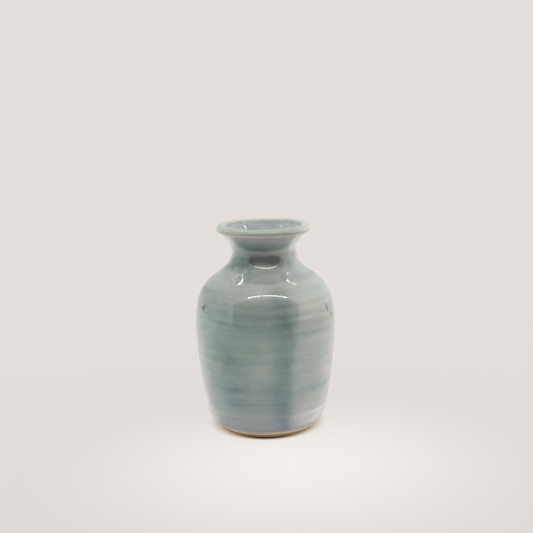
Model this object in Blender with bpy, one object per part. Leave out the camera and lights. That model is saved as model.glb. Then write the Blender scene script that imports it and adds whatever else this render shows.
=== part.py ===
"""Wheel-thrown ceramic bud vase, 100 mm tall.

The vase is one lump of fired clay with two glass coats melted onto it: a coat dipped on
the outside, and a liner coat poured inside to make it hold water. The three bodies are
turned about Z. The finished surface is drawn once, as a single outline that starts at the
middle of the inner floor, climbs the inner wall, rolls over the lip and comes down the
outside to the edge of the glaze above the bare foot. The coats are shells under that
surface, and the clay is the same outline set back by a coat and a joint gap.

The frame is +Z up, with the origin on the standing surface, under the middle of the foot.
"""

import math

import bmesh
import bpy

MM = 0.001

# Overall form, in millimetres
HEIGHT = 100.0
SEGMENTS = 48

# The outer wall from the edge of the glaze at the foot to the underside of the lip, as
# (height, radius): tucked foot, long swelling belly, rounded shoulder, neck and flare.
OUTER_STATIONS = (
    (2.7, 26.6),
    (6.0, 28.5),
    (11.0, 30.0),
    (24.0, 32.2),
    (48.0, 34.4),
    (60.0, 33.7),
    (68.0, 31.2),
    (73.5, 26.8),
    (79.0, 19.5),
    (86.0, 15.6),
    (91.0, 17.1),
    (96.4, 22.3),
)

# Rolled lip: an ellipse in section, from its lower edge over the top to the rim seam
LIP_HALF_WIDTH = 2.55
LIP_HALF_HEIGHT = 2.3
LIP_CENTRE_RADIUS = 20.55
LIP_LOWER_EDGE_DEG = -35.0
LIP_CREST_DEG = 90.0
LIP_SEAM_DEG = 150.0

# Wall and floor, measured to the finished surfaces
WALL_THICKNESS = 4.4
FLOOR_HEIGHT = 7.2
FLOOR_DISH = 0.5
FLOOR_CORNER_RADIUS = 5.0
INNER_WALL_TOP = 93.0

# Fired glaze coats, and the gap that keeps touching bodies apart
COAT_THICKNESS = 0.5
JOINT_GAP = 0.3

# Bare foot: the edge of the clay band, a small undercut, a flat standing ring and a recess
FOOT_EDGE_RADIUS = 25.3
FOOT_EDGE_HEIGHT = 1.2
UNDERCUT_RADIUS = 24.6
UNDERCUT_HEIGHT = 0.8
STANDING_RADIUS = 24.3
STANDING_WIDTH = 3.6
RECESS_DEPTH = 2.2
RECESS_DRAFT = 0.9
RECESS_CROWN = 0.4

# Rows of facets along each stretch of the outline
FLOOR_ROWS = 2
CORNER_ROWS = 3
LOWER_BELLY_ROWS = 4
UPPER_BELLY_ROWS = 2
NECK_ROWS = 9
TUCK_ROWS = 3
LIP_INNER_ROWS = 3
LIP_OUTER_ROWS = 5
SHOULDER_HEIGHT = 64.0
WIDEST_HEIGHT = 48.0
TUCK_HEIGHT = 10.0

SHARP_ANGLE_DEG = 40.0

CLAY_COLOUR = (0.54, 0.41, 0.29, 1.0)
OUTER_GLAZE_COLOUR = (0.22, 0.29, 0.27, 1.0)
LINER_GLAZE_COLOUR = (0.26, 0.31, 0.31, 1.0)


def clear_scene():
    for obj in list(bpy.data.objects):
        bpy.data.objects.remove(obj)


def spline_slopes(stations):
    """Slopes at the stations of the smoothest cubic curve through them, with relaxed ends."""
    steps = [b[0] - a[0] for a, b in zip(stations, stations[1:])]
    rises = [(b[1] - a[1]) / step for a, b, step in zip(stations, stations[1:], steps)]
    last = len(stations) - 1
    diagonal = [2.0]
    above = [1.0]
    right = [3.0 * rises[0]]
    for i in range(1, last):
        share = steps[i] / (steps[i - 1] + steps[i])
        diagonal.append(2.0)
        above.append(1.0 - share)
        right.append(3.0 * (share * rises[i - 1] + (1.0 - share) * rises[i]))
        factor = share / diagonal[i - 1]
        diagonal[i] -= factor * above[i - 1]
        right[i] -= factor * right[i - 1]
    factor = 1.0 / diagonal[last - 1]
    diagonal.append(2.0 - factor * above[last - 1])
    right.append(3.0 * rises[-1] - factor * right[last - 1])
    slopes = [0.0] * len(stations)
    slopes[last] = right[last] / diagonal[last]
    for i in range(last - 1, -1, -1):
        slopes[i] = (right[i] - above[i] * slopes[i + 1]) / diagonal[i]
    return slopes


OUTER_SLOPES = spline_slopes(OUTER_STATIONS)


def outer_radius(height):
    """Radius of the finished outer wall at a height."""
    i = 0
    while i < len(OUTER_STATIONS) - 2 and height > OUTER_STATIONS[i + 1][0]:
        i += 1
    low, high = OUTER_STATIONS[i], OUTER_STATIONS[i + 1]
    step = high[0] - low[0]
    t = (height - low[0]) / step
    return (
        (2 * t**3 - 3 * t**2 + 1) * low[1]
        + (t**3 - 2 * t**2 + t) * step * OUTER_SLOPES[i]
        + (3 * t**2 - 2 * t**3) * high[1]
        + (t**3 - t**2) * step * OUTER_SLOPES[i + 1]
    )


def inner_radius(height):
    """Radius of the finished inner wall: the outer wall less an even thickness."""
    probe = 0.1
    slope = (outer_radius(height + probe) - outer_radius(height - probe)) / (2 * probe)
    return outer_radius(height) - WALL_THICKNESS * math.hypot(1.0, slope)


def even_steps(start, end, rows):
    """Values from start towards end, evenly spaced, leaving the end value out."""
    return [start + (end - start) * i / rows for i in range(rows)]


def lip_point(angle_deg):
    angle = math.radians(angle_deg)
    radius = LIP_CENTRE_RADIUS + LIP_HALF_WIDTH * math.cos(angle)
    height = HEIGHT - LIP_HALF_HEIGHT + LIP_HALF_HEIGHT * math.sin(angle)
    return radius, height


def inner_outline():
    """Finished liner surface as (radius, height), from the floor's middle to the rim seam."""
    corner_height = FLOOR_HEIGHT + FLOOR_CORNER_RADIUS
    corner_centre = inner_radius(corner_height) - FLOOR_CORNER_RADIUS
    points = []
    for radius in even_steps(0.0, corner_centre, FLOOR_ROWS):
        dish = FLOOR_DISH * (1.0 - (radius / corner_centre) ** 2)
        points.append((radius, FLOOR_HEIGHT - dish))
    for angle in even_steps(-math.pi / 2, 0.0, CORNER_ROWS):
        radius = corner_centre + FLOOR_CORNER_RADIUS * math.cos(angle)
        points.append((radius, corner_height + FLOOR_CORNER_RADIUS * math.sin(angle)))
    heights = even_steps(corner_height, WIDEST_HEIGHT, LOWER_BELLY_ROWS)
    heights += even_steps(WIDEST_HEIGHT, SHOULDER_HEIGHT, UPPER_BELLY_ROWS)
    heights += even_steps(SHOULDER_HEIGHT, INNER_WALL_TOP, NECK_ROWS)
    heights.append(INNER_WALL_TOP)
    points += [(inner_radius(height), height) for height in heights]
    points.append(lip_point(LIP_SEAM_DEG))
    return points


def outer_outline():
    """Finished outer surface as (radius, height), from the rim seam to the glaze's foot edge."""
    lip_angles = even_steps(LIP_SEAM_DEG, LIP_CREST_DEG, LIP_INNER_ROWS)
    lip_angles += even_steps(LIP_CREST_DEG, LIP_LOWER_EDGE_DEG, LIP_OUTER_ROWS)
    lip_angles.append(LIP_LOWER_EDGE_DEG)
    points = [lip_point(angle) for angle in lip_angles]
    heights = even_steps(OUTER_STATIONS[-1][0], SHOULDER_HEIGHT, NECK_ROWS)[1:]
    heights += even_steps(SHOULDER_HEIGHT, WIDEST_HEIGHT, UPPER_BELLY_ROWS)
    heights += even_steps(WIDEST_HEIGHT, TUCK_HEIGHT, LOWER_BELLY_ROWS)
    heights += even_steps(TUCK_HEIGHT, OUTER_STATIONS[0][0], TUCK_ROWS)
    heights.append(OUTER_STATIONS[0][0])
    points += [(outer_radius(height), height) for height in heights]
    return points


def set_back(points, depth):
    """The outline moved into the wall, which lies on its right as it is travelled."""
    moved = []
    for i, (radius, height) in enumerate(points):
        before = points[max(i - 1, 0)]
        after = points[min(i + 1, len(points) - 1)]
        along_r = after[0] - before[0]
        along_z = after[1] - before[1]
        length = math.hypot(along_r, along_z)
        new_radius = radius + depth * along_z / length
        if radius == 0.0:
            new_radius = 0.0
        moved.append((new_radius, height - depth * along_r / length))
    return moved


def shorten(points, length):
    """The outline with its last point pulled back along the last stretch."""
    (r0, z0), (r1, z1) = points[-2], points[-1]
    share = 1.0 - length / math.hypot(r1 - r0, z1 - z0)
    return points[:-1] + [(r0 + (r1 - r0) * share, z0 + (z1 - z0) * share)]


def foot_outline():
    """Bare foot of the clay, from under the glaze edge to the middle of the recess."""
    inner_edge = STANDING_RADIUS - STANDING_WIDTH
    return [
        (FOOT_EDGE_RADIUS, FOOT_EDGE_HEIGHT),
        (UNDERCUT_RADIUS, UNDERCUT_HEIGHT),
        (STANDING_RADIUS, 0.0),
        (inner_edge, 0.0),
        (inner_edge - RECESS_DRAFT, RECESS_DEPTH),
        (0.0, RECESS_DEPTH + RECESS_CROWN),
    ]


def shell_outline(surface):
    """Section of a coat: its finished surface, then back along the side facing the clay."""
    return surface + set_back(surface, COAT_THICKNESS)[::-1]


def plain_material(name, colour, roughness):
    material = bpy.data.materials.new(name)
    material.use_nodes = True
    shader = material.node_tree.nodes["Principled BSDF"]
    shader.inputs["Base Color"].default_value = colour
    shader.inputs["Roughness"].default_value = roughness
    shader.inputs["Metallic"].default_value = 0.0
    return material


def turned_body(name, outline, is_ring, material):
    """Turns a section about Z into one closed body. A ring's section is a closed loop."""
    work = bmesh.new()
    verts = [work.verts.new((radius * MM, 0.0, height * MM)) for radius, height in outline]
    edges = [work.edges.new(pair) for pair in zip(verts, verts[1:])]
    if is_ring:
        edges.append(work.edges.new((verts[-1], verts[0])))
    bmesh.ops.spin(
        work,
        geom=verts + edges,
        cent=(0.0, 0.0, 0.0),
        axis=(0.0, 0.0, 1.0),
        angle=2 * math.pi,
        steps=SEGMENTS,
        use_merge=True,
    )
    bmesh.ops.remove_doubles(work, verts=work.verts, dist=0.001 * MM)
    bmesh.ops.recalc_face_normals(work, faces=work.faces)
    mesh = bpy.data.meshes.new(name)
    work.to_mesh(mesh)
    work.free()
    mesh.materials.append(material)
    mesh.shade_smooth()
    mesh.set_sharp_from_angle(angle=math.radians(SHARP_ANGLE_DEG))
    body = bpy.data.objects.new(name, mesh)
    bpy.context.scene.collection.objects.link(body)
    return body


def build_clay_body(inner, outer):
    surface = inner[:-1] + outer
    outline = set_back(surface, COAT_THICKNESS + JOINT_GAP) + foot_outline()
    material = plain_material("bare_clay", CLAY_COLOUR, 0.85)
    return turned_body("clay_body", outline, False, material)


def build_liner_coat(inner):
    material = plain_material("liner_glaze", LINER_GLAZE_COLOUR, 0.12)
    return turned_body("liner_glaze_coat", shell_outline(shorten(inner, JOINT_GAP)), False, material)


def build_outer_coat(outer):
    material = plain_material("outer_glaze", OUTER_GLAZE_COLOUR, 0.08)
    return turned_body("outer_glaze_coat", shell_outline(outer), True, material)


def main():
    clear_scene()
    inner = inner_outline()
    outer = outer_outline()
    build_clay_body(inner, outer)
    build_liner_coat(inner)
    build_outer_coat(outer)


main()
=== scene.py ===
import math

import bpy
import numpy as np
from mathutils import Matrix, Vector


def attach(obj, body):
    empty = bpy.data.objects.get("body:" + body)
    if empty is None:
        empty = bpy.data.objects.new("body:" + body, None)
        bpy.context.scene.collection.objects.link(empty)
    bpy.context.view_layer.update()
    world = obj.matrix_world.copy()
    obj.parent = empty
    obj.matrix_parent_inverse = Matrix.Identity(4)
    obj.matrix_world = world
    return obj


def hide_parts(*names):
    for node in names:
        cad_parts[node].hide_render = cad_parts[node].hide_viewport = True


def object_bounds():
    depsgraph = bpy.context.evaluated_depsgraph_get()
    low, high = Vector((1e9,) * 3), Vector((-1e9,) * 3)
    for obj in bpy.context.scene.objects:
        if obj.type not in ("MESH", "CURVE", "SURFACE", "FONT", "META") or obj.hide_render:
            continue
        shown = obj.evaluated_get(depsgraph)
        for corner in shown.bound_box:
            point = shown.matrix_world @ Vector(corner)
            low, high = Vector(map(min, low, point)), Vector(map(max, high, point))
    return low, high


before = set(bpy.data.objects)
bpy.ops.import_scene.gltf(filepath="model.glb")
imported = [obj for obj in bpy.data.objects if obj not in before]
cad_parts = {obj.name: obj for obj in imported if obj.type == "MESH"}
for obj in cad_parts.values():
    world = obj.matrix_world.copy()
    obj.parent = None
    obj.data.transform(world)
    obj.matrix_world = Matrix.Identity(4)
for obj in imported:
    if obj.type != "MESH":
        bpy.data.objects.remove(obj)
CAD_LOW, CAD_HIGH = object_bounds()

# The vase is drawn in hundredths of its height, which are millimetres at its real size.
MM = (CAD_HIGH.z - CAD_LOW.z) / 100.0
FLOOR_Z = CAD_LOW.z
FRONT_DEG = -90.0

# ---------------------------------------------------------------------------
# Form
# ---------------------------------------------------------------------------

HEIGHT = 100.0
GLAZE_EDGE = 2.7

# Outer wall as (height, radius), from the glaze edge at the foot to the lip's underside
OUTER_STATIONS = (
    (GLAZE_EDGE, 26.6),
    (6.0, 28.5),
    (11.0, 30.0),
    (24.0, 32.2),
    (48.0, 34.4),
    (60.0, 33.7),
    (68.0, 31.2),
    (73.5, 26.8),
    (79.0, 19.5),
    (86.0, 15.6),
    (91.0, 17.1),
    (96.4, 22.3),
)

LIP_HALF_WIDTH = 2.55
LIP_HALF_HEIGHT = 2.3
LIP_CENTRE_RADIUS = 20.55
LIP_LOWER_EDGE_DEG = -35.0
LIP_SEAM_DEG = 150.0

WALL_THICKNESS = 4.4
FLOOR_HEIGHT = 7.2
FLOOR_DISH = 0.5
FLOOR_CORNER_RADIUS = 5.0
INNER_WALL_TOP = 93.0

COAT = 0.45
COAT_EMBED = 0.12
COAT_DEPTH = COAT + COAT_EMBED
EDGE_ROLL = 0.55

OUTER_SEGMENTS = 384
OUTER_ROWS = 210
INNER_SEGMENTS = 256
INNER_ROWS = 170
BACK_ROWS = 26
CLAY_SEGMENTS = 288
OUTLINE_STEPS = 6000


def spline(stations):
    """The smoothest curve through (position, value) stations, as a function of position."""
    knots = np.array([s[0] for s in stations], float)
    values = np.array([s[1] for s in stations], float)
    steps = np.diff(knots)
    rises = np.diff(values) / steps
    count = len(knots)
    matrix = np.eye(count)
    right = np.zeros(count)
    for i in range(1, count - 1):
        matrix[i, i - 1 : i + 2] = steps[i - 1], 2 * (steps[i - 1] + steps[i]), steps[i]
        right[i] = 6 * (rises[i] - rises[i - 1])
    bends = np.linalg.solve(matrix, right)

    def value(position):
        position = np.asarray(position, float)
        i = np.clip(np.searchsorted(knots, position) - 1, 0, count - 2)
        after = position - knots[i]
        before = knots[i + 1] - position
        return (
            (bends[i] * before**3 + bends[i + 1] * after**3) / (6 * steps[i])
            + (values[i] / steps[i] - bends[i] * steps[i] / 6) * before
            + (values[i + 1] / steps[i] - bends[i + 1] * steps[i] / 6) * after
        )

    return value


outer_radius = spline(OUTER_STATIONS)


def wall_slope(height):
    """Change of the outer radius for each step of height."""
    probe = 0.1
    return (outer_radius(height + probe) - outer_radius(height - probe)) / (2 * probe)


def inner_radius(height):
    """Radius of the liner's surface, one wall thickness in, square to the outer face."""
    return outer_radius(height) - WALL_THICKNESS * np.hypot(1.0, wall_slope(height))


def lip_arc(start_deg, end_deg, count):
    """Part of the rolled lip's oval section; angles go upward from pointing straight out."""
    angle = np.radians(np.linspace(start_deg, end_deg, count))
    radius = LIP_CENTRE_RADIUS + LIP_HALF_WIDTH * np.cos(angle)
    height = HEIGHT - LIP_HALF_HEIGHT + LIP_HALF_HEIGHT * np.sin(angle)
    return np.column_stack([radius, height])


def arc_length(points):
    """Distance along an outline from its start to each of its points."""
    return np.concatenate([[0], np.cumsum(np.hypot(*np.diff(points, axis=0).T))])


def evenly(points, count):
    """The outline as a number of evenly spaced points."""
    length = arc_length(points)
    even = np.linspace(0, length[-1], count)
    return np.column_stack([np.interp(even, length, points[:, i]) for i in (0, 1)])


def resample(points, count, rounding):
    """Evenly spaced points along an outline, with its corners rounded off over a length."""
    for _ in range(2):
        step = arc_length(points)[-1] / OUTLINE_STEPS
        points = evenly(points, OUTLINE_STEPS)
        reach = max(1, int(rounding / step))
        window = np.hanning(2 * reach + 1)
        window /= window.sum()
        before = 2 * points[0] - points[reach:0:-1]
        after = 2 * points[-1] - points[-2 : -reach - 2 : -1]
        padded = np.vstack([before, points, after])
        points = np.column_stack([np.convolve(padded[:, i], window, "valid") for i in (0, 1)])
    return evenly(points, count)


def outer_outline(count):
    """Finished outer surface from the rim seam, over the lip, down to the foot's glaze edge."""
    heights = np.linspace(OUTER_STATIONS[-1][0], OUTER_STATIONS[0][0], 900)
    wall = np.column_stack([outer_radius(heights), heights])
    lip = lip_arc(LIP_SEAM_DEG, LIP_LOWER_EDGE_DEG, 200)
    return resample(np.vstack([lip, wall]), count, rounding=0.45)


def inner_outline(count):
    """Finished liner surface from the middle of the floor up to the rim seam."""
    corner_height = FLOOR_HEIGHT + FLOOR_CORNER_RADIUS
    corner_centre = float(inner_radius(corner_height)) - FLOOR_CORNER_RADIUS
    radius = np.linspace(0, corner_centre, 60)[:-1]
    floor = np.column_stack([radius, FLOOR_HEIGHT - FLOOR_DISH * (1 - (radius / corner_centre) ** 2)])
    angle = np.linspace(-math.pi / 2, 0, 40)[:-1]
    corner = np.column_stack(
        [
            corner_centre + FLOOR_CORNER_RADIUS * np.cos(angle),
            corner_height + FLOOR_CORNER_RADIUS * np.sin(angle),
        ]
    )
    heights = np.linspace(corner_height, INNER_WALL_TOP, 700)
    wall = np.column_stack([inner_radius(heights), heights])
    throat = lip_arc(LIP_SEAM_DEG + 12, LIP_SEAM_DEG, 12)
    outline = resample(np.vstack([floor, corner, wall, throat]), count, rounding=1.2)
    outline[0, 0] = 0.0
    return outline


def normals(outline):
    """Unit normals pointing away from the wall, which lies on the right of the outline."""
    along = np.gradient(outline, axis=0)
    along /= np.linalg.norm(along, axis=1)[:, None]
    return np.column_stack([-along[:, 1], along[:, 0]])


# ---------------------------------------------------------------------------
# Hand-made irregularity, all as smooth functions of height and azimuth
# ---------------------------------------------------------------------------


def ripple(azimuth, height, seed, count, lobes, span):
    """A smooth random field round the pot: waves of a few lobes, drifting over a height span."""
    rng = np.random.default_rng(seed)
    total = np.zeros(np.broadcast(azimuth, height).shape)
    for _ in range(count):
        n = rng.integers(lobes[0], lobes[1] + 1)
        k = rng.normal() / span
        size = rng.normal()
        start = rng.uniform(0, 2 * math.pi)
        total += size * np.sin(n * azimuth + 2 * math.pi * k * height + start)
    return total / math.sqrt(count / 2)


def rings(azimuth, height, seed, count, shortest, longest):
    """Throwing rings: ridges that climb as a spiral, one pitch a turn, with uneven spacing."""
    rng = np.random.default_rng(seed)
    total = np.zeros(np.broadcast(azimuth, height).shape)
    for _ in range(count):
        pitch = rng.uniform(shortest, longest)
        swell = 1 + 0.5 * np.sin(azimuth + rng.uniform(0, 2 * math.pi))
        start = rng.uniform(0, 2 * math.pi)
        total += swell * np.sin(2 * math.pi * height / pitch - azimuth + start)
    return total / math.sqrt(count / 2)


def around(azimuth, centre_deg):
    """Signed angle in degrees from a place right of the front, wrapped to -180..180."""
    return (np.degrees(azimuth) - FRONT_DEG - centre_deg + 180) % 360 - 180


# Pits burnt through the glaze: (degrees right of the front, height, radius, depth)
PITS = (
    (61.0, 85.6, 0.45, 0.2),
    (-30.0, 68.5, 0.4, 0.12),
    (-46.0, 66.5, 0.4, 0.12),
    (13.5, 47.6, 0.35, 0.1),
    (118.0, 52.0, 0.6, 0.2),
    (171.0, 71.0, 0.5, 0.16),
    (-140.0, 33.0, 0.65, 0.2),
    (-104.0, 80.0, 0.4, 0.14),
)

PIT_DARKNESS = 3.0

# Specks of kiln grit under the glaze: (degrees right of the front, height, radius, rise)
BUMPS = (
    (-37.3, 10.5, 0.45, 0.12),
    (-22.0, 6.5, 0.3, 0.08),
    (95.0, 14.0, 0.4, 0.1),
    (-165.0, 48.0, 0.35, 0.08),
)

# Dark marks in the glaze: the three near 60 degrees either side are painted reflections of the tent's
# dark clips, the one behind is a plain dark mark: (degrees right of the front, height, half width,
# half length, lean to the right in degrees, depth)
DARK_REFLECTIONS_AND_MARKS = (
    (-59.8, 62.2, 0.75, 1.5, 45.0, 0.36),
    (61.3, 61.0, 0.65, 2.0, -20.0, 0.42),
    (68.6, 57.4, 0.50, 0.8, -20.0, 0.35),
    (140.0, 56.0, 0.60, 1.2, 20.0, 0.35),
)

# A throwing ridge under the neck: (height, half width, rise)
NECK_RIDGE = (84.0, 2.3, 0.20)

# Heights between which the lip's unevenness grows, and the glaze edge's
RIM_LIFT = (88.0, 98.0)
EDGE_RUN = (10.0, GLAZE_EDGE)


def bell(distance, half_width):
    """One at the middle of a place, falling off smoothly to both sides."""
    return np.exp(-((distance / half_width) ** 2))


def on_wall(azimuth, height, centre, level):
    """Distances along the wall from a place on it, sideways and upward."""
    sideways = np.radians(around(azimuth, centre)) * outer_radius(level)
    return sideways, (height - level) * np.hypot(1.0, wall_slope(level))


def spots(azimuth, height, places):
    """Sum of small round dents or bumps on the wall."""
    total = np.zeros(np.broadcast(azimuth, height).shape)
    for centre, level, radius, depth in places:
        sideways, upward = on_wall(azimuth, height, centre, level)
        total += depth * np.exp(-(sideways**2 + upward**2) / radius**2)
    return total


def dark_reflections_and_marks(azimuth, height):
    """Sum of the leaning dark marks' depths, mostly painted reflections of the tent's side clips."""
    total = np.zeros(np.broadcast(azimuth, height).shape)
    for centre, level, wide, long, lean, depth in DARK_REFLECTIONS_AND_MARKS:
        sideways, upward = on_wall(azimuth, height, centre, level)
        turn = math.radians(lean)
        along = sideways * math.sin(turn) + upward * math.cos(turn)
        across = sideways * math.cos(turn) - upward * math.sin(turn)
        total = total + depth * bell(across, wide) * bell(along, long)
    return total


def outer_relief(azimuth, height):
    """Displacement of the glazed outer surface along its normal."""
    calm = np.clip((height - 2) / 6, 0, 1)
    relief = 0.10 * ripple(azimuth, height, 11, 5, (1, 3), 160.0)
    relief += 0.006 * rings(azimuth, height, 12, 3, 4.2, 6.4)
    relief += 0.022 * rings(azimuth, height, 13, 2, 9.0, 14.0)
    relief += 0.006 * ripple(azimuth, height, 14, 9, (5, 16), 14.0)
    relief = relief * (0.35 + 0.65 * calm)
    level, half, rise = NECK_RIDGE
    relief = relief + rise * bell(height - level, half)
    return relief - spots(azimuth, height, PITS) + spots(azimuth, height, BUMPS)


def inner_relief(azimuth, height):
    """Displacement of the liner surface: throwing rings are deeper where no tool smoothed them."""
    calm = np.clip((96.0 - height) / 6, 0, 1)
    relief = 0.12 * rings(azimuth, height, 21, 3, 3.6, 5.6)
    relief += 0.08 * ripple(azimuth, height, 22, 5, (1, 4), 60.0)
    return relief * calm


def share_between(height, start, end):
    """Zero before the start, one past the end, and growing with the square between them."""
    return np.clip((height - start) / (end - start), 0, 1) ** 2


def rim_lift(azimuth, height):
    """Rise of the lip, which is not quite level all round."""
    rise = 0.10 * np.sin(azimuth + 0.8) + 0.05 * np.sin(2 * azimuth + 2.1)
    return share_between(height, *RIM_LIFT) * rise


def edge_run(azimuth, height):
    """How much further down the glaze runs in places; it stretches the whole outline there."""
    return share_between(height, *EDGE_RUN) * 0.16 * ripple(azimuth, 0.0, 31, 6, (2, 9), 50.0)


# ---------------------------------------------------------------------------
# Meshes
# ---------------------------------------------------------------------------


def grid_faces(rows, segments):
    """Quads of a closed tube of rows x segments vertices, facing away from the axis."""
    row = np.arange(rows - 1)[:, None] * segments
    here = np.arange(segments)[None, :]
    after = (here + 1) % segments
    quads = np.stack([row + here, row + segments + here, row + segments + after, row + after], -1)
    return quads.reshape(-1, 4)


def make_object(name, verts, quads, tris=None):
    """A smooth mesh in the scene from vertices in the vase's own units."""
    mesh = bpy.data.meshes.new(name)
    faces = quads.tolist()
    if tris is not None:
        faces += tris.tolist()
    mesh.from_pydata((np.asarray(verts) * MM).tolist(), [], faces)
    mesh.validate()
    mesh.update()
    mesh.shade_smooth()
    obj = bpy.data.objects.new(name, mesh)
    obj.location.z = FLOOR_Z
    bpy.context.scene.collection.objects.link(obj)
    return obj


def azimuths(segments):
    """Angles of the segments as one row, to combine with a column of heights."""
    return np.linspace(0, 2 * math.pi, segments, endpoint=False)[None, :]


def turned(outline, offset, azimuth):
    """Points (rows, segments, 3) of the outline turned round, moved by offset along its normals."""
    out = normals(outline)
    radius = np.maximum(outline[:, :1] + offset * out[:, :1], 0.0)
    height = outline[:, 1:] + offset * out[:, 1:]
    return np.stack([radius * np.cos(azimuth), radius * np.sin(azimuth), height + 0 * azimuth], -1)


def coat_back(outline, azimuth):
    """The coat's hidden side, which lies a little way inside the clay, and its rows' heights."""
    rows = np.linspace(0, len(outline) - 1, BACK_ROWS).astype(int)
    height = outline[rows, 1:]
    back = turned(outline[rows], -COAT_DEPTH + 0 * azimuth, azimuth)
    back[..., 2] += rim_lift(azimuth, height)
    return back, height


def paint(obj, name, values):
    """Stores one number for each vertex, for the material to read by name."""
    layer = obj.data.attributes.new(name, "FLOAT", "POINT")
    layer.data.foreach_set("value", np.asarray(values, np.float32).ravel())


def build_outer_glaze():
    azimuth = azimuths(OUTER_SEGMENTS)
    outline = outer_outline(OUTER_ROWS)
    height = outline[:, 1:]
    length = arc_length(outline)[:, None]
    roll = np.clip(1 - (length[-1] - length) / EDGE_ROLL, 0, 1)
    offset = outer_relief(azimuth, height)
    offset = offset - COAT_DEPTH * (1 - np.sqrt(np.clip(1 - roll**2, 0, 1)))
    points = turned(outline, offset, azimuth)
    points[..., 2] += rim_lift(azimuth, height) + edge_run(azimuth, height)

    back, back_height = coat_back(outline, azimuth)
    back[..., 2] += edge_run(azimuth, back_height)

    verts = np.concatenate([points, back[::-1]]).reshape(-1, 3)
    rows = OUTER_ROWS + BACK_ROWS
    quads = grid_faces(rows, OUTER_SEGMENTS)
    last = (rows - 1) * OUTER_SEGMENTS
    here = np.arange(OUTER_SEGMENTS)
    after = (here + 1) % OUTER_SEGMENTS
    closing = np.stack([last + here, here, after, last + after], -1)
    obj = make_object("outer_glaze", verts, np.vstack([quads, closing]))

    fields = glaze_fields(azimuth, height + 0 * azimuth, outline[:, :1] + 0 * azimuth)
    none = np.zeros((BACK_ROWS, OUTER_SEGMENTS))
    for name, values in zip(("depth_and_painted_light", "glaze_warmth", "glaze_blue"), fields):
        paint(obj, name, np.concatenate([values, none]))
    return obj


def capped_tube(rows, segments):
    """Faces of a tube closed by fans to two more vertices, at its first row's end and its last's."""
    here = np.arange(segments)
    after = (here + 1) % segments
    first, last = rows * segments, rows * segments + 1
    last_row = (rows - 1) * segments
    first_fan = np.stack([here, after, np.full(segments, first)], -1)
    last_fan = np.stack([last_row + after, last_row + here, np.full(segments, last)], -1)
    return grid_faces(rows, segments), np.vstack([first_fan, last_fan])


def close_cup(points, back):
    """Joins a cup's inner surface and its back into one body; both start on the axis."""
    loops = np.concatenate([points[1:], back[1:][::-1]])
    verts = np.vstack([loops.reshape(-1, 3), points[:1, 0], back[:1, 0]])
    quads, tris = capped_tube(*loops.shape[:2])
    return verts, quads, tris


def build_liner_glaze():
    azimuth = azimuths(INNER_SEGMENTS)
    outline = inner_outline(INNER_ROWS)
    height = outline[:, 1:]
    # on the floor the rings are drawn by radius, so they go on to its middle
    level = height + np.clip(14 - outline[:, :1], 0, None) * 0.35
    offset = inner_relief(azimuth, level) * np.clip(outline[:, :1] / 4, 0, 1)
    points = turned(outline, offset, azimuth)
    points[..., 2] += rim_lift(azimuth, height)
    back, _ = coat_back(outline, azimuth)
    verts, quads, tris = close_cup(points, back)
    return make_object("liner_glaze", verts, quads, tris)


# Bare foot as (radius, height), from under the glaze edge to the middle of the recess
FOOT_OUTLINE = (
    (26.1, 2.5),
    (26.0, 2.05),
    (25.5, 1.6),
    (24.5, 1.25),
    (24.25, 0.9),
    (24.1, 0.0),
    (20.9, 0.0),
    (20.6, 0.25),
    (20.2, 1.4),
    (19.8, 2.2),
    (12.0, 2.4),
    (0.0, 2.6),
)

# Height where the clay's wall meets that outline, and radii at the standing ring's inner corner:
# beyond the first the lowest points stand on the floor, within the second the recess is trimmed
FOOT_TOP = 3.4
STANDING_RADIUS = 20.4
RECESS_RADIUS = 20.8

# The clay is bare below the first height, and fully so this much lower
BARE_CLAY = (2.9, 0.6)

# Trimming rings in the recess: (rise, pitch, climb for each turn)
TRIM_RINGS = (
    (0.035, 1.15, 1),
    (0.020, 0.47, 0),
)
GROG_RISE = 0.012


def build_clay():
    azimuth = azimuths(CLAY_SEGMENTS)
    inside = inner_outline(60)
    inside = inside - COAT * normals(inside)
    inside[0, 0] = 0.0
    outside = outer_outline(110)
    outside = outside - COAT * normals(outside)
    outside = outside[outside[:, 1] > FOOT_TOP]
    foot = resample(np.vstack([outside[-1:], np.array(FOOT_OUTLINE)]), 170, rounding=0.22)
    foot[-1, 0] = 0.0
    outline = np.vstack([inside[:-1], outside, foot[1:]])
    height = outline[:, 1:]
    radius = outline[:, :1]
    exposed = np.clip((BARE_CLAY[0] - height) / BARE_CLAY[1], 0, 1)
    under = (radius < RECESS_RADIUS) * exposed
    trim = 0.0
    for rise, pitch, climb in TRIM_RINGS:
        trim = trim + rise * np.sin(2 * math.pi * radius / pitch + climb * azimuth)
    offset = under * trim * np.clip(radius / 3, 0, 1)
    offset = offset + exposed * GROG_RISE * ripple(azimuth, height * 6, 41, 14, (20, 60), 9.0)
    standing = (height < 0.05) & (radius > STANDING_RADIUS)
    offset = np.where(standing, np.minimum(offset, 0.0), offset)
    points = turned(outline, offset, azimuth)
    points[..., 2] += rim_lift(azimuth, height)
    points[..., 2] = np.maximum(points[..., 2], 0.0)

    verts = np.vstack([points[1:-1].reshape(-1, 3), points[:1, 0], points[-1:, 0]])
    quads, tris = capped_tube(points.shape[0] - 2, CLAY_SEGMENTS)
    return make_object("clay", verts, quads, tris)
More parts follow.
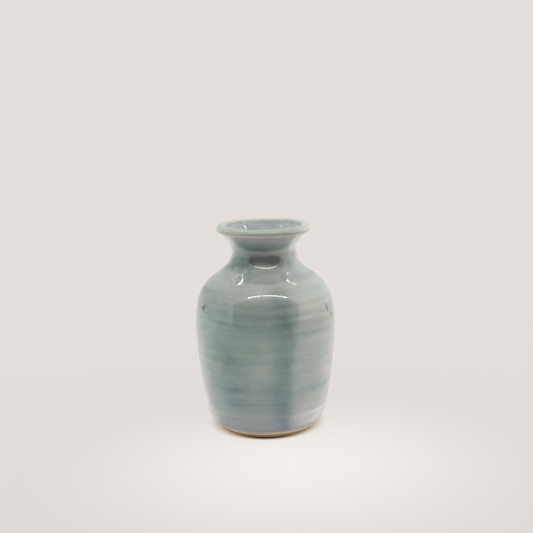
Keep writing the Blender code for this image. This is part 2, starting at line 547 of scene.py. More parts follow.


# ---------------------------------------------------------------------------
# Glaze thickness: where the colour is pale (thin) or deep (pooled), with painted reflections, shade
# and highlights
# ---------------------------------------------------------------------------

# How deep, warm and blue the coat is by height on the wall, as (height, value)
DEPTH_BY_HEIGHT = (
    (0.0, 0.34),
    (6.0, 0.44),
    (11.0, 0.44),
    (16.0, 0.56),
    (27.0, 0.52),
    (36.0, 0.50),
    (46.0, 0.58),
    (56.0, 0.66),
    (62.0, 0.72),
    (68.0, 0.64),
    (75.0, 0.62),
    (79.0, 0.68),
    (82.0, 0.82),
    (85.0, 0.92),
    (86.0, 0.80),
    (87.0, 0.71),
    (90.0, 0.64),
    (93.0, 0.58),
    (96.0, 0.50),
    (97.5, 0.60),
    (100.0, 0.60),
)
WARMTH_BY_HEIGHT = (
    (0.0, 0.58),
    (20.0, 0.55),
    (30.0, 0.50),
    (52.0, 0.52),
    (60.0, 0.58),
    (66.0, 0.72),
    (72.0, 0.80),
    (81.0, 0.80),
    (85.0, 0.88),
    (88.0, 0.86),
    (91.0, 0.68),
    (95.0, 0.64),
    (97.0, 0.84),
)
BLUE_BY_HEIGHT = (
    (0.0, 0.62),
    (10.0, 0.50),
    (20.0, 0.46),
    (30.0, 0.40),
    (46.0, 0.35),
    (56.0, 0.25),
    (66.0, 0.22),
    (76.0, 0.36),
    (83.0, 0.24),
    (87.0, 0.34),
    (90.0, 0.50),
    (95.0, 0.60),
    (97.0, 0.10),
)

# Grooves between throwing ridges, where glaze pools: (height, half width, depth)
POOLED_GROOVES = (
    (66.0, 0.5, 0.06),
    (61.3, 0.9, 0.05),
    (59.3, 0.6, -0.07),
    (57.0, 0.8, 0.07),
    (52.4, 0.8, 0.06),
    (49.0, 0.9, -0.04),
    (43.0, 0.8, -0.04),
    (39.0, 1.2, 0.05),
    (31.0, 0.9, -0.03),
    (25.0, 1.2, 0.05),
    (17.5, 1.0, 0.03),
    (11.5, 1.0, -0.05),
)

# Runs of thicker or thinner glaze down the wall: (from, to, as degrees right of the front,
# left softness, right softness, top, depth)
RUNS = (
    (7.0, 22.5, 2.2, 1.5, 76.0, 0.18),
    (24.0, 112.0, 1.7, 8.0, 60.0, -0.20),
    (76.0, 94.0, 3.0, 2.0, 64.0, 0.16),
    (121.0, 134.0, 1.6, 2.4, 70.0, 0.20),
    (162.0, 181.0, 4.0, 2.0, 58.0, 0.12),
    (-139.0, -124.0, 2.4, 1.0, 66.0, 0.20),
    (-101.0, -90.0, 2.0, 2.0, 54.0, 0.12),
)

# Broad pale or deep areas: (degrees right of the front, height, half width, half height, depth)
AREAS = (
    (-3.0, 34.0, 11.0, 5.0, -0.24),
    (-1.0, 45.0, 8.0, 6.0, -0.08),
    (16.0, 9.5, 12.0, 5.0, 0.16),
    (-32.0, 42.0, 13.0, 12.0, 0.12),
    (-28.0, 39.0, 6.0, 4.0, 0.06),
    (-27.0, 25.5, 10.0, 2.2, 0.20),
    (-24.0, 19.0, 12.0, 3.0, 0.14),
    (-74.0, 14.0, 24.0, 16.0, -0.42),
    (-70.0, 46.0, 20.0, 14.0, -0.18),
    (-70.0, 69.0, 22.0, 5.0, 0.34),
    (-66.0, 44.0, 6.0, 14.0, -0.12),
    (-78.0, 40.0, 7.0, 12.0, 0.20),
    (-58.0, 30.0, 6.0, 4.0, -0.12),
    (60.0, 30.0, 10.0, 9.0, -0.12),
    (45.0, 18.0, 22.0, 3.0, -0.12),
    (2.0, 79.5, 22.0, 2.0, -0.04),
    (12.0, 63.0, 9.0, 3.6, -0.14),
    (-50.0, 62.5, 16.0, 2.6, 0.14),
    (64.0, 61.5, 10.0, 2.0, -0.14),
    (-68.0, 80.5, 10.0, 2.2, 0.16),
    (66.0, 6.0, 16.0, 2.4, -0.22),
    (-62.0, 6.0, 12.0, 2.4, -0.16),
    (26.0, 82.8, 13.0, 1.3, 0.30),
    (14.0, 85.0, 34.0, 1.2, 0.14),
    (-47.0, 55.0, 7.0, 6.0, -0.10),
    (-56.0, 91.5, 10.0, 2.5, -0.12),
    (52.0, 91.5, 10.0, 2.5, -0.14),
    (38.0, 67.0, 16.0, 6.0, -0.17),
    (55.0, 11.0, 42.0, 9.0, -0.20),
    (46.0, 24.8, 13.0, 2.2, 0.12),
    (39.0, 52.5, 13.0, 1.3, 0.10),
    (54.0, 76.6, 14.0, 1.6, 0.10),
    (14.0, 77.6, 14.0, 1.6, -0.14),
    (-42.0, 77.0, 10.0, 3.0, -0.08),
    # The next two are painted light: the flare paler at its sides, beside the painted dark reflection
    # in front
    (-70.0, 92.0, 20.0, 5.0, -0.56),
    (66.0, 92.0, 22.0, 5.0, -0.60),
    (18.0, 91.5, 26.0, 4.0, -0.20),
    (-36.0, 92.5, 12.0, 1.6, 0.08),
    (-44.0, 88.8, 7.0, 1.6, -0.16),
    (35.0, 88.8, 14.0, 1.6, -0.13),
    (49.0, 92.0, 6.0, 3.6, -0.26),
    (55.0, 94.8, 9.0, 1.8, -0.26),
    (-60.0, 94.5, 10.0, 2.2, -0.40),
    (-45.0, 83.0, 20.0, 2.0, 0.34),
    (66.0, 84.0, 20.0, 5.0, -0.28),
    (-76.0, 87.0, 13.0, 2.5, -0.26),
    (16.0, 76.0, 5.0, 2.0, -0.20),
    (-56.0, 80.0, 5.0, 2.0, 0.14),
    (8.0, 8.0, 6.0, 4.0, -0.18),
    (-70.0, 22.0, 8.0, 7.0, -0.14),
    (16.0, 37.5, 4.0, 1.6, 0.16),
    (64.0, 84.5, 8.0, 2.0, 0.18),
    (-57.0, 85.0, 6.0, 1.2, 0.12),
    (35.0, 82.5, 5.0, 1.6, -0.16),
    (-37.0, 76.5, 4.0, 2.0, -0.14),
    (150.0, 40.0, 24.0, 26.0, -0.16),
    (-150.0, 55.0, 20.0, 16.0, -0.12),
    (180.0, 84.0, 40.0, 3.0, -0.16),
    (-104.0, 30.0, 14.0, 20.0, 0.10),
)

# Hue shifts in the same form: up is warmer grey, down is greener
WARM_AREAS = (
    (56.0, 58.0, 34.0, 9.0, 0.34),
    (-44.0, 83.6, 20.0, 3.2, -1.00),
    (-32.0, 92.0, 16.0, 2.5, -0.22),
    (-32.0, 38.0, 13.0, 12.0, -0.14),
    (-74.0, 60.0, 12.0, 12.0, 0.20),
    (50.0, 82.0, 30.0, 4.0, 0.14),
    (68.0, 89.0, 20.0, 5.0, -0.22),
    (-72.0, 89.0, 18.0, 4.0, -0.24),
    (54.0, 90.5, 12.0, 3.0, -0.26),
    (-10.0, 90.0, 12.0, 2.5, -0.16),
    (-6.0, 68.0, 12.0, 6.0, 0.14),
    (-2.0, 43.0, 14.0, 7.0, -0.16),
    (62.0, 34.0, 14.0, 12.0, 0.14),
    (-78.0, 48.0, 6.0, 14.0, 0.20),
    (130.0, 84.0, 20.0, 4.0, -0.40),
    (160.0, 30.0, 30.0, 20.0, 0.16),
)

# Hue shifts in the same form: up is bluer, down is more olive
BLUE_AREAS = (
    (13.0, 28.0, 7.0, 24.0, 0.26),
    (16.0, 9.0, 6.0, 4.0, 0.30),
    (-28.0, 20.0, 14.0, 7.0, 0.30),
    (-20.0, 5.5, 60.0, 3.0, 0.30),
    (-50.0, 84.0, 22.0, 4.0, -0.12),
    (54.0, 76.6, 16.0, 2.0, 0.20),
    (4.0, 58.0, 22.0, 4.0, -0.14),
    (-68.0, 75.0, 18.0, 9.0, -0.20),
    (128.0, 24.0, 9.0, 22.0, 0.40),
    (-131.0, 20.0, 10.0, 20.0, 0.40),
)

# A patch of crawled, mottled glaze: (degrees right of the front, height, half width, half height)
MOTTLED_PATCH = (-29.0, 79.5, 12.0, 5.5)
MOTTLES = 90
MOTTLE_DEPTH = 0.22

# Painted dark reflection and shade under the flare, in front only: its lower edge in front, and how
# far that has risen at an angle to the sides; its upper edge; its depth a step above the lower edge,
# and the loss per step up
FLARE_REFLECTION_EDGE = (88.9, 3.0, 48.0)
FLARE_REFLECTION_TOP = 95.6
FLARE_REFLECTION_DEPTH = (0.25, 0.10)

# The pale line under the lip, as (height, half width), and what it takes from the coat's depth,
# warmth and blueness
LIP_LINE = (96.5, 0.5)
LIP_LINE_LOSS = (0.60, 0.10, 0.40)

# Paler glaze on the lip's inner edge, partly thin glaze and partly a painted highlight: (radius, half
# width, lowest height, depth)
LIP_INNER_EDGE = (LIP_CENTRE_RADIUS - 0.7, 0.7, 98.6, -0.26)

# Bands above the pale line and along the foot's edge: (height, half width, depth)
EDGE_BANDS = (
    (97.5, 0.45, 0.06),
    (GLAZE_EDGE, 0.7, -0.35),
)


def step_up(distance, softness):
    """Zero well before a place and one well past it."""
    return 1 / (1 + np.exp(-np.clip(distance / softness, -30, 30)))


def by_height(height, stations):
    """Straight-line value between (height, value) stations, with the corners eased."""
    at = [s[0] for s in stations]
    values = [s[1] for s in stations]
    spread = 0.8
    return sum(np.interp(height + spread * i, at, values) for i in (-1, 0, 1)) / 3


def in_areas(azimuth, height, areas):
    """Sum of broad soft areas."""
    total = np.zeros(np.broadcast(azimuth, height).shape)
    for centre, middle, half, tall, amount in areas:
        total = total + amount * bell(around(azimuth, centre), half) * bell(height - middle, tall)
    return total


def mottles():
    """Places of the small dark spots in the mottled patch, as for spots()."""
    rng = np.random.default_rng(61)
    centre, middle, half, tall = MOTTLED_PATCH
    return [
        (
            centre + half * rng.uniform(-1, 1),
            middle + tall * rng.uniform(-1, 1),
            rng.uniform(0.3, 0.65),
            MOTTLE_DEPTH * rng.uniform(0.3, 1.0),
        )
        for _ in range(MOTTLES)
    ]


def painted_flare_reflection(azimuth, height):
    """Painted dark reflection and shade in a bowl shape under the flare, in front only: sharp below,
    fading towards the lip.
    """
    lowest, rise, side_deg = FLARE_REFLECTION_EDGE
    deep, loss = FLARE_REFLECTION_DEPTH
    sideways = np.abs(around(azimuth, 0.0)) / side_deg
    edge = lowest + rise * np.minimum(sideways, 1.2) ** 4
    inside = step_up(height - edge, 0.12) * step_up(FLARE_REFLECTION_TOP - height, 0.3)
    return inside * (deep - loss * (height - lowest - 1.0))


def runs(azimuth, height):
    """Sum of the vertical runs, whose sides waver with the height."""
    wave = 0.7 * ripple(azimuth, height, 54, 5, (1, 3), 45.0)
    wave = wave + 0.5 * ripple(azimuth, height, 56, 5, (1, 3), 11.0)
    total = np.zeros(np.broadcast(azimuth, height).shape)
    for start, end, left, right, top, amount in RUNS:
        middle = (start + end) / 2
        place = around(azimuth, middle) + wave
        across = step_up(place + middle - start, left) * step_up(end - middle - place, right)
        fade = np.clip((height - 1) / 5, 0, 1) * step_up(top - height, 2.5)
        total = total + amount * across * fade
    return total


def pooled_rings(azimuth, height):
    """Throwing rings in the glaze's depth: fine ones all over and the named grooves."""
    drift = 0.5 * np.sin(azimuth + 0.6) + 0.35 * ripple(azimuth, height, 51, 6, (1, 5), 30.0)
    total = 0.02 * rings(azimuth, height + drift, 53, 4, 2.6, 5.5)
    for centre, half, amount in POOLED_GROOVES:
        swell = 1 + 0.45 * np.sin(azimuth * 2 + centre)
        total = total + amount * swell * bell(height + drift - centre, half)
    return total


def lip_and_edges(height, radius):
    """Thin glaze at the foot and on the lip's inner edge, where it is also a painted highlight, and
    the bands beside them.
    """
    edge_radius, half, lowest, amount = LIP_INNER_EDGE
    total = amount * bell(radius - edge_radius, half) * step_up(height - lowest, 0.2)
    for level, half, amount in EDGE_BANDS:
        total = total + amount * bell(height - level, half)
    return total


def glaze_fields(azimuth, height, radius):
    """Glaze depth (which also carries painted reflections, shade and highlights), warmth and blueness
    at each point of the outer surface, all about 0 to 1.
    """
    line_height, line_half = LIP_LINE
    line = bell(height - line_height, line_half)
    less_deep, less_warm, less_blue = LIP_LINE_LOSS

    depth = by_height(height, DEPTH_BY_HEIGHT) - less_deep * line
    depth = depth + 0.03 * ripple(azimuth, height, 52, 8, (1, 4), 60.0)
    depth = depth + pooled_rings(azimuth, height) + runs(azimuth, height)
    # painted: a dark reflection and shade under the flare, in front
    depth = depth + in_areas(azimuth, height, AREAS) + painted_flare_reflection(azimuth, height)
    # painted: most dark marks are reflections of the clips, and part of the lip's pale inner edge is
    # a highlight
    depth = depth + lip_and_edges(height, radius) + dark_reflections_and_marks(azimuth, height)
    depth = depth + PIT_DARKNESS * spots(azimuth, height, PITS) + spots(azimuth, height, mottles())

    warm = by_height(height, WARMTH_BY_HEIGHT) - less_warm * line
    warm = warm + in_areas(azimuth, height, WARM_AREAS)

    blue = by_height(height, BLUE_BY_HEIGHT) - less_blue * line
    blue = blue + in_areas(azimuth, height, BLUE_AREAS)
    blue = blue + 0.06 * ripple(azimuth, height, 55, 6, (1, 5), 40.0)
    return np.clip(depth, 0, 1), np.clip(warm, 0, 1), np.clip(blue, 0, 1)


# ---------------------------------------------------------------------------
# Materials
# ---------------------------------------------------------------------------


class Nodes:
    """Short calls for building one material's nodes. Noise scales are in waves for each metre."""

    def __init__(self, name):
        self.material = bpy.data.materials.new(name)
        self.material.use_nodes = True
        self.tree = self.material.node_tree
        self.shader = self.tree.nodes["Principled BSDF"]

    def add(self, kind, inputs=None, **settings):
        node = self.tree.nodes.new(kind)
        for key, value in settings.items():
            setattr(node, key, value)
        for key, value in (inputs or {}).items():
            self.feed(node.inputs[key], value)
        return node

    def feed(self, socket, value):
        if isinstance(value, bpy.types.NodeSocket):
            self.tree.links.new(value, socket)
        else:
            socket.default_value = value

    def math(self, operation, a, b=0.0, clamp=False):
        node = self.add("ShaderNodeMath", {0: a, 1: b}, operation=operation, use_clamp=clamp)
        return node.outputs[0]

    def vector(self, operation, a, b=(0.0, 0.0, 0.0), output="Vector"):
        node = self.add("ShaderNodeVectorMath", {0: a, 1: b}, operation=operation)
        return node.outputs[output]

    def split(self, vector):
        return self.add("ShaderNodeSeparateXYZ", {0: vector}).outputs

    def coordinates(self, kind):
        return self.add("ShaderNodeTexCoord").outputs[kind]

    def either(self, chooser, shader, other):
        return self.add("ShaderNodeMixShader", {0: chooser, 1: shader, 2: other}).outputs[0]

    def place(self, scale):
        inputs = {"Vector": self.coordinates("Object"), "Scale": scale}
        return self.add("ShaderNodeMapping", inputs).outputs[0]

    def noise(self, scale, detail=3.0, roughness=0.5, stretch=(1.0, 1.0, 1.0), distortion=0.0):
        inputs = {
            "Vector": self.place(stretch),
            "Scale": scale,
            "Detail": detail,
            "Roughness": roughness,
            "Distortion": distortion,
        }
        return self.add("ShaderNodeTexNoise", inputs).outputs["Fac"]

    def ramp(self, factor, stops):
        node = self.add("ShaderNodeValToRGB", {"Fac": factor})
        elements = node.color_ramp.elements
        while len(elements) < len(stops):
            elements.new(0.5)
        for element, (position, colour) in zip(elements, stops):
            element.position = position
            element.color = (*colour, 1.0)
        return node.outputs["Color"]

    def spread(self, factor, low, high, start=0.0, end=1.0, kind="LINEAR"):
        inputs = {"Value": factor, "From Min": low, "From Max": high, "To Min": start, "To Max": end}
        return self.add("ShaderNodeMapRange", inputs, interpolation_type=kind).outputs["Result"]

    def mix(self, factor, a, b, blend="MIX"):
        node = self.add("ShaderNodeMix", data_type="RGBA", blend_type=blend)
        self.feed(node.inputs["Factor"], factor)
        self.feed(node.inputs[6], a)
        self.feed(node.inputs[7], b)
        return node.outputs[2]

    def bump(self, height, strength, distance):
        inputs = {"Height": height, "Strength": strength, "Distance": distance}
        return self.add("ShaderNodeBump", inputs).outputs["Normal"]

    def finish(self, **inputs):
        for key, value in inputs.items():
            self.feed(self.shader.inputs[key.replace("_", " ")], value)
        return self.material


class WorldNodes(Nodes):
    """The same calls for the world's nodes."""

    def __init__(self, name):
        world = bpy.data.worlds.new(name)
        world.use_nodes = True
        bpy.context.scene.world = world
        self.tree = world.node_tree
        self.tree.nodes.clear()


def value_of(n, name):
    return n.add("ShaderNodeAttribute", attribute_name=name).outputs["Fac"]


# Depth of the fine relief that the materials draw
GLAZE_RELIEF = 0.3 * MM
CLAY_RELIEF = 0.12 * MM

# Celadon over stoneware, from the thin coat on an edge to the deepest pool
CELADON_STOPS = (
    (0.00, (0.660, 0.700, 0.680)),
    (0.06, (0.575, 0.615, 0.595)),
    (0.14, (0.490, 0.522, 0.500)),
    (0.26, (0.410, 0.450, 0.430)),
    (0.40, (0.332, 0.400, 0.385)),
    (0.54, (0.270, 0.352, 0.340)),
    (0.72, (0.205, 0.285, 0.276)),
    (0.86, (0.151, 0.215, 0.208)),
    (1.00, (0.088, 0.125, 0.121)),
)

# Hue shifts of the glaze, from green to warm grey, and from olive to blue
WARMTH_STOPS = (
    (0.00, (0.75, 1.00, 1.00)),
    (0.50, (1.00, 1.00, 1.00)),
    (1.00, (1.30, 1.00, 1.00)),
)
BLUE_STOPS = (
    (0.00, (1.00, 1.00, 0.85)),
    (0.35, (1.00, 1.00, 1.00)),
    (1.00, (1.00, 1.00, 1.12)),
)
IRON_GREEN = (0.14, 0.18, 0.13, 1.0)
GLAZE_IOR = 1.52

LINER_STOPS = (
    (0.30, (0.285, 0.305, 0.280)),
    (0.48, (0.205, 0.240, 0.240)),
    (0.68, (0.130, 0.172, 0.185)),
)


def hue_shift(n, name, stops):
    return n.ramp(value_of(n, name), stops)


def outer_glaze_material():
    n = Nodes("celadon_glaze")
    # the depth attribute also carries painted reflections, shade and highlights
    depth = value_of(n, "depth_and_painted_light")
    brushed = n.noise(260.0, detail=4.0, roughness=0.55, stretch=(1.0, 1.0, 7.0))
    cloudy = n.noise(80.0, detail=4.0, roughness=0.6, stretch=(1.0, 1.0, 1.5), distortion=0.6)
    fine = n.noise(1500.0, detail=2.0, roughness=0.6)
    varied = n.math("ADD", depth, n.spread(brushed, 0.25, 0.75, -0.03, 0.03))
    varied = n.math("ADD", varied, n.spread(cloudy, 0.25, 0.75, -0.10, 0.10))
    varied = n.math("ADD", varied, n.spread(fine, 0.25, 0.75, -0.025, 0.025), clamp=True)
    colour = n.ramp(varied, CELADON_STOPS)
    colour = n.mix(1.0, colour, hue_shift(n, "glaze_warmth", WARMTH_STOPS), "MULTIPLY")
    colour = n.mix(1.0, colour, hue_shift(n, "glaze_blue", BLUE_STOPS), "MULTIPLY")
    specks = n.spread(n.noise(900.0, detail=1.0), 0.68, 0.78, 0.0, 0.5)
    colour = n.mix(specks, colour, IRON_GREEN)
    orange_peel = n.noise(420.0, detail=2.0)
    normal = n.bump(orange_peel, 0.005, GLAZE_RELIEF)
    roughness = n.spread(n.noise(300.0, detail=2.0), 0.3, 0.7, 0.04, 0.07)
    return n.finish(
        Base_Color=colour,
        Roughness=roughness,
        IOR=GLAZE_IOR,
        Normal=normal,
    )


def liner_glaze_material():
    n = Nodes("liner_glaze")
    cloudy = n.noise(110.0, detail=4.0, roughness=0.55, stretch=(1.0, 1.0, 2.5), distortion=0.3)
    brushed = n.noise(240.0, detail=3.0, stretch=(1.0, 1.0, 6.0))
    varied = n.math("ADD", n.math("MULTIPLY", cloudy, 0.7), n.math("MULTIPLY", brushed, 0.3))
    colour = n.ramp(varied, LINER_STOPS)
    normal = n.bump(n.noise(380.0, detail=2.0), 0.10, GLAZE_RELIEF)
    roughness = n.spread(n.noise(300.0, detail=2.0), 0.3, 0.7, 0.07, 0.14)
    return n.finish(
        Base_Color=colour,
        Roughness=roughness,
        IOR=GLAZE_IOR,
        Coat_Weight=0.4,
        Coat_Roughness=0.04,
        Normal=normal,
    )


CLAY_STOPS = (
    (0.30, (0.62, 0.47, 0.34)),
    (0.50, (0.74, 0.585, 0.44)),
    (0.72, (0.82, 0.69, 0.55)),
)
GRAIN_COLOUR = (0.80, 0.68, 0.55, 1.0)
IRON_SPECK = (0.17, 0.09, 0.05, 1.0)
PALE_GROG = (0.86, 0.80, 0.70, 1.0)

# The foot's lowest edge is painted browner and darker than the band above it, as painted shade in the
# crevice under the foot: (fully below, not above)
FOOT_SHADE_TINT = (0.62, 0.50, 0.40, 1.0)
FOOT_SHADE_HEIGHTS = (0.9, 1.5)


def clay_material():
    n = Nodes("bare_stoneware")
    cloudy = n.noise(180.0, detail=4.0, roughness=0.6)
    grain = n.noise(2600.0, detail=3.0, roughness=0.65)
    colour = n.ramp(cloudy, CLAY_STOPS)
    colour = n.mix(n.spread(grain, 0.3, 0.7, 0.0, 0.35), colour, GRAIN_COLOUR)
    iron = n.spread(n.noise(1300.0, detail=1.0), 0.70, 0.76, 0.0, 0.85)
    colour = n.mix(iron, colour, IRON_SPECK)
    pale = n.spread(n.noise(1700.0, detail=1.0, stretch=(1.0, 1.0, 1.3)), 0.71, 0.77, 0.0, 0.7)
    colour = n.mix(pale, colour, PALE_GROG)
    # painted shade: the foot's lowest edge is darkened and browned
    height = n.split(n.coordinates("Object"))["Z"]
    low, high = FOOT_SHADE_HEIGHTS
    foot_shade = n.spread(height, low * MM, high * MM, 1.0, 0.0)
    colour = n.mix(foot_shade, colour, n.mix(1.0, colour, FOOT_SHADE_TINT, "MULTIPLY"))
    normal = n.bump(grain, 0.5, CLAY_RELIEF)
    roughness = n.spread(cloudy, 0.3, 0.7, 0.78, 0.92)
    return n.finish(Base_Color=colour, Roughness=roughness, IOR=1.45, Normal=normal)


# ---------------------------------------------------------------------------
# Studio: pale floor, soft tent light, and what the glossy glaze reflects
# ---------------------------------------------------------------------------

BACKDROP = (0.776, 0.737, 0.708)
FLOOR_HOLE_RADIUS = 23.9
FLOOR_RINGS = (FLOOR_HOLE_RADIUS, 60.0, 200.0, 800.0, 3000.0)
FLOOR_SEGMENTS = 96
FLOOR_PAPER = (0.62, 0.59, 0.57, 1.0)
FLOOR_SHADING = 0.06
FLOOR_GLOW = 0.867

# Reach of the painted shadow on the floor round the foot, as (dark within, light beyond), and its
# warm tint
SHADOW_AT_SIDES = (17.5, 30.5)
SHADOW_IN_FRONT = (25.0, 28.6)
SHADOW_TINT = (0.81, 1.0, 1.28)

# A painted lighter pool on the floor in front of the vase, a little wider than deep; its centre is in
# units of its reach
POOL_REACH = 110.0
POOL_SQUEEZE = 0.9
POOL_CENTRE = (0.10, -0.50, 0.0)
POOL_GAIN = 1.24


def painted_floor_shadow(n):
    """Painted light on the floor by place: a painted shadow beside the foot, tinted warm at its edge.
    """
    flat = n.vector("MULTIPLY", n.coordinates("Object"), (1.0, 1.0, 0.0))
    reach = n.vector("LENGTH", flat, output="Value")
    back = n.split(n.vector("NORMALIZE", flat))["Y"]
    front = n.spread(n.math("MULTIPLY", n.math("ABSOLUTE", back), back), -1.0, 0.0, 1.0, 0.0)
    ends = zip(SHADOW_AT_SIDES, SHADOW_IN_FRONT)
    dark, light = (n.spread(front, 0.0, 1.0, side * MM, ahead * MM) for side, ahead in ends)
    glow = n.spread(reach, dark, light, kind="SMOOTHSTEP")
    tint = {i: n.math("POWER", glow, power) for i, power in enumerate(SHADOW_TINT)}
    return n.add("ShaderNodeCombineColor", tint).outputs[0]


def floor_material():
    """Plain paper to the light; to the camera a glow in the backdrop's tone with a painted shadow and
    pool, and some real shading.
    """
    n = Nodes("floor_paper")
    n.finish(Base_Color=FLOOR_PAPER, Roughness=0.9, Specular_IOR_Level=0.1)
    shade = (FLOOR_SHADING * c / BACKDROP[0] for c in BACKDROP)
    shaded = n.add("ShaderNodeBsdfDiffuse", {"Color": (*shade, 1.0)})
    # painted light: a lighter pool in front and a shadow round the foot, drawn by the floor's glow
    pool = n.place((POOL_SQUEEZE / (POOL_REACH * MM), 1.0 / (POOL_REACH * MM), 1.0))
    away = n.vector("DISTANCE", pool, POOL_CENTRE, "Value")
    brighter = n.spread(away, 0.0, 1.0, POOL_GAIN, 1.0, "SMOOTHSTEP")
    tone = n.mix(1.0, painted_floor_shadow(n), (*BACKDROP, 1.0), "MULTIPLY")
    strength = n.math("MULTIPLY", brighter, FLOOR_GLOW)
    even = n.add("ShaderNodeEmission", {"Color": tone, "Strength": strength})
    seen = n.add("ShaderNodeAddShader", {0: shaded.outputs[0], 1: even.outputs[0]}).outputs[0]
    path = n.add("ShaderNodeLightPath").outputs
    by_ray = n.either(path["Is Camera Ray"], n.shader.outputs[0], seen)
    clear = n.add("ShaderNodeBsdfTransparent").outputs[0]
    side = n.add("ShaderNodeNewGeometry").outputs
    surface = n.either(side["Backfacing"], by_ray, clear)
    n.feed(n.tree.nodes["Material Output"].inputs["Surface"], surface)
    return n.material


def pale_floor():
    """A wide floor, clear from below, with a hole under the foot, so the underside is lit as well."""
    angle = np.linspace(0, 2 * math.pi, FLOOR_SEGMENTS, endpoint=False)
    rows = [np.column_stack([r * np.cos(angle), r * np.sin(angle), 0 * angle]) for r in FLOOR_RINGS]
    floor = make_object("floor", np.vstack(rows), grid_faces(len(rows), FLOOR_SEGMENTS))
    floor.data.materials.append(floor_material())


def glowing(name, colour, strength, sampling="NONE"):
    """A material that only gives off light."""
    material = bpy.data.materials.new(name)
    material.use_nodes = True
    tree = material.node_tree
    tree.nodes.clear()
    emission = tree.nodes.new("ShaderNodeEmission")
    emission.inputs["Color"].default_value = (*colour, 1.0)
    emission.inputs["Strength"].default_value = strength
    output = tree.nodes.new("ShaderNodeOutputMaterial")
    tree.links.new(emission.outputs[0], output.inputs["Surface"])
    material.cycles.emission_sampling = sampling
    return material


def card(name, corners, material, only_reflected):
    """A flat card around the vase, never seen directly by the camera."""
    mesh = bpy.data.meshes.new(name)
    face = list(range(len(corners)))
    mesh.from_pydata([tuple(c * MM for c in corner) for corner in corners], [], [face])
    obj = bpy.data.objects.new(name, mesh)
    obj.location.z = FLOOR_Z
    bpy.context.scene.collection.objects.link(obj)
    obj.data.materials.append(material)
    obj.visible_camera = False
    obj.visible_transmission = False
    if only_reflected:
        obj.visible_diffuse = False
        obj.visible_shadow = False


TENT_FRONT_Y = -195.0
TENT_TOP_Z = 380.0

# The tent's dark front opening, as (x, height) corners from the lower left, clockwise
OPENING = ((-226.0, 27.0), (-286.0, 262.0), (312.0, 256.0), (244.0, 25.0))
OPENING_ROUNDING = (4.0, 75.0, 75.0, 4.0)

# The main light bar's middle line under the tent's ceiling, as (x, y)
MAIN_BAR = (
    (-176.0, -226.0),
    (-120.0, -209.0),
    (-40.0, -198.0),
    (60.0, -197.0),
    (150.0, -206.0),
    (234.0, -224.0),
)

# Light bars under the ceiling, as (width, (x, y) points along the bar)
LIGHT_BARS = (
    (17.0, MAIN_BAR),
    (2.4, ((-167.0, 70.0), (-146.0, 67.0), (-127.0, 70.0))),
    (9.0, ((-130.0, 74.5), (-128.0, 74.0))),
    (5.6, ((-160.0, 80.0), (-130.0, 79.5))),
    (4.4, ((126.0, 80.0), (198.0, 82.0))),
    (4.2, ((172.0, 101.0), (183.0, 102.0))),
)
BAR_STRENGTH = 26.0
BAR_WHITE = (1.0, 0.98, 0.95)
OPENING_GREY = (0.20, 0.20, 0.20)
CLIP_GREY = (0.25, 0.25, 0.25)

# Dark clips at the tent's sides, as (y, low, high, x at the foot, x at the head, half width)
CLIPS = (
    (97.0, 50.0, 82.0, -186.0, -252.0, 18.0),
    (106.0, 34.0, 71.0, 201.0, 238.0, 16.0),
    (106.0, 26.0, 40.0, 136.0, 146.0, 10.0),
)

# Small lamps beside them, as (x, y, height)
LAMPS = (
    (-256.0, 97.0, 96.0),
    (246.0, 106.0, 79.0),
)
LAMP_HALF_WIDTH = 4.5
LAMP_HALF_HEIGHT = 1.0


def rounded(corners, radii, steps=9):
    """A polygon with each corner replaced by a curve from side to side."""
    points = []
    count = len(corners)
    for i, radius in enumerate(radii):
        here = np.array(corners[i])
        before = np.array(corners[i - 1]) - here
        after = np.array(corners[(i + 1) % count]) - here
        start = here + before / np.linalg.norm(before) * radius
        end = here + after / np.linalg.norm(after) * radius
        for t in np.linspace(0, 1, steps):
            points.append((1 - t) ** 2 * start + 2 * t * (1 - t) * here + t * t * end)
    return points


def strip(y, half_width, foot, head):
    """Corners of an upright strip between an (x, height) at its foot and one at its head."""
    (foot_x, low), (head_x, high) = foot, head
    return [
        (foot_x - half_width, y, low),
        (foot_x + half_width, y, low),
        (head_x + half_width, y, high),
        (head_x - half_width, y, high),
    ]


def tent():
    """The dark front opening and, for reflections only, the light bars, clips and lamps."""
    dark = glowing("tent_opening", OPENING_GREY, 1.0)
    outline = [(x, TENT_FRONT_Y, z) for x, z in rounded(OPENING, OPENING_ROUNDING)]
    card("tent_opening", outline, dark, False)
    bright = glowing("light_bar", BAR_WHITE, BAR_STRENGTH, "FRONT_BACK")
    for i, (width, path) in enumerate(LIGHT_BARS):
        near = [(x, y - width / 2, TENT_TOP_Z) for x, y in path]
        far = [(x, y + width / 2, TENT_TOP_Z) for x, y in reversed(path)]
        card(f"light_bar_{i + 1}", near + far, bright, True)
    clip = glowing("clip", CLIP_GREY, 1.0)
    for i, (y, low, high, foot_x, head_x, half) in enumerate(CLIPS):
        card(f"clip_{i + 1}", strip(y, half, (foot_x, low), (head_x, high)), clip, True)
    for i, (x, y, z) in enumerate(LAMPS):
        ends = (x, z - LAMP_HALF_HEIGHT), (x, z + LAMP_HALF_HEIGHT)
        card(f"lamp_{i + 1}", strip(y, LAMP_HALF_WIDTH, *ends), bright, True)


# Brightness of the tent's walls by bearing: (cosine of the angle from straight behind, radiance)
WALL_LIGHT = (
    (-1.0, 1.80),
    (-0.5, 1.95),
    (0.0, 1.98),
    (0.5, 1.85),
    (0.78, 1.45),
    (0.92, 0.95),
    (0.985, 0.76),
)
WALL_LIGHT_UNIT = 3.0
RIGHT_SIDE_GAIN = 0.10
TENT_WHITE = (1.0, 0.985, 0.965, 1.0)

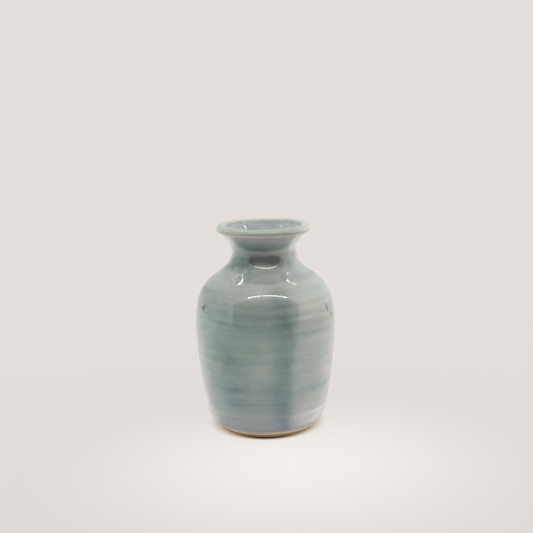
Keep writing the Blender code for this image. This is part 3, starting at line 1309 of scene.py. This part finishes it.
# The ceiling's radiance over the front and over the back, and how much of the walls' light there
# is from below
CEILING_LIGHT = (2.20, 1.60)
LIGHT_FROM_BELOW = 0.36

# Where the light changes: by the height part of a direction, and overhead by its backward part
BELOW_TO_WALLS = (-0.10, -0.02)
WALLS_TO_CEILING = (0.60, 0.95)
FRONT_TO_BACK = (-0.45, 0.20)


def soft_world():
    """Tent light: bright side walls, a plain backdrop behind, and a white ceiling."""
    n = WorldNodes("tent_light")
    direction = n.coordinates("Generated")
    _, back, up = n.split(direction)
    level = n.vector("MULTIPLY", direction, (1.0, 1.0, 0.0))
    across, behind, _ = n.split(n.vector("NORMALIZE", level))
    stops = [((c + 1) / 2, (v / WALL_LIGHT_UNIT,) * 3) for c, v in WALL_LIGHT]
    walls = n.ramp(n.spread(behind, -1.0, 1.0), stops)
    side = n.spread(across, -1.0, 1.0, 1.0 - RIGHT_SIDE_GAIN, 1.0 + RIGHT_SIDE_GAIN)
    walls = n.mix(1.0, walls, side, "MULTIPLY")
    walls = n.mix(1.0, walls, n.spread(up, *BELOW_TO_WALLS, LIGHT_FROM_BELOW, 1.0), "MULTIPLY")
    front_light, back_light = (light / WALL_LIGHT_UNIT for light in CEILING_LIGHT)
    overhead = n.spread(back, *FRONT_TO_BACK, front_light, back_light)
    lit = n.mix(n.spread(up, *WALLS_TO_CEILING), walls, overhead)
    tone = n.mix(1.0, lit, TENT_WHITE, "MULTIPLY")
    light = n.add("ShaderNodeBackground", {"Color": tone, "Strength": WALL_LIGHT_UNIT})
    plain = n.add("ShaderNodeBackground", {"Color": (*BACKDROP, 1.0)})
    path = n.add("ShaderNodeLightPath").outputs
    seen = n.either(path["Is Camera Ray"], light.outputs[0], plain.outputs[0])
    n.add("ShaderNodeOutputWorld", {"Surface": seen})


# The camera stands in front, above the lip, and looks down at the vase
CAMERA_DISTANCE = 433.2
CAMERA_HEIGHT = 159.0
CAMERA_PITCH_DEG = 10.50
CAMERA_YAW_DEG = 0.136
CAMERA_ROLL_DEG = -1.02
LENS_MM = 60.788
SENSOR_MM = 36.0


def camera():
    data = bpy.data.cameras.new("camera")
    data.sensor_width = SENSOR_MM
    data.lens = LENS_MM
    data.clip_start = 0.01
    data.clip_end = 20.0
    obj = bpy.data.objects.new("camera", data)
    pitch = math.radians(CAMERA_PITCH_DEG)
    yaw = math.radians(CAMERA_YAW_DEG)
    roll = math.radians(CAMERA_ROLL_DEG)
    ahead = Vector((math.sin(yaw), math.cos(yaw), 0.0))
    forward = math.cos(pitch) * ahead - math.sin(pitch) * Vector((0.0, 0.0, 1.0))
    level = Vector((math.cos(yaw), -math.sin(yaw), 0.0))
    upright = level.cross(forward)
    right = math.cos(roll) * level + math.sin(roll) * upright
    up = -math.sin(roll) * level + math.cos(roll) * upright
    turn = Matrix((right, up, -forward)).transposed().to_4x4()
    place = Vector((0.0, -CAMERA_DISTANCE, CAMERA_HEIGHT)) * MM + Vector((0, 0, FLOOR_Z))
    obj.matrix_world = Matrix.Translation(place) @ turn
    bpy.context.scene.collection.objects.link(obj)
    bpy.context.scene.camera = obj


def main():
    outer = build_outer_glaze()
    liner = build_liner_glaze()
    clay = build_clay()
    for piece, node, slot, material in (
        (outer, "outer_glaze_coat", "outer_glaze", outer_glaze_material()),
        (liner, "liner_glaze_coat", "liner_glaze", liner_glaze_material()),
        (clay, "clay_body", "bare_clay", clay_material()),
    ):
        piece.data.materials.append(material)
        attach(piece, "root")
        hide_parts(node)
    pale_floor()
    tent()
    soft_world()
    camera()
    bpy.context.scene.view_settings.view_transform = "Standard"


main()
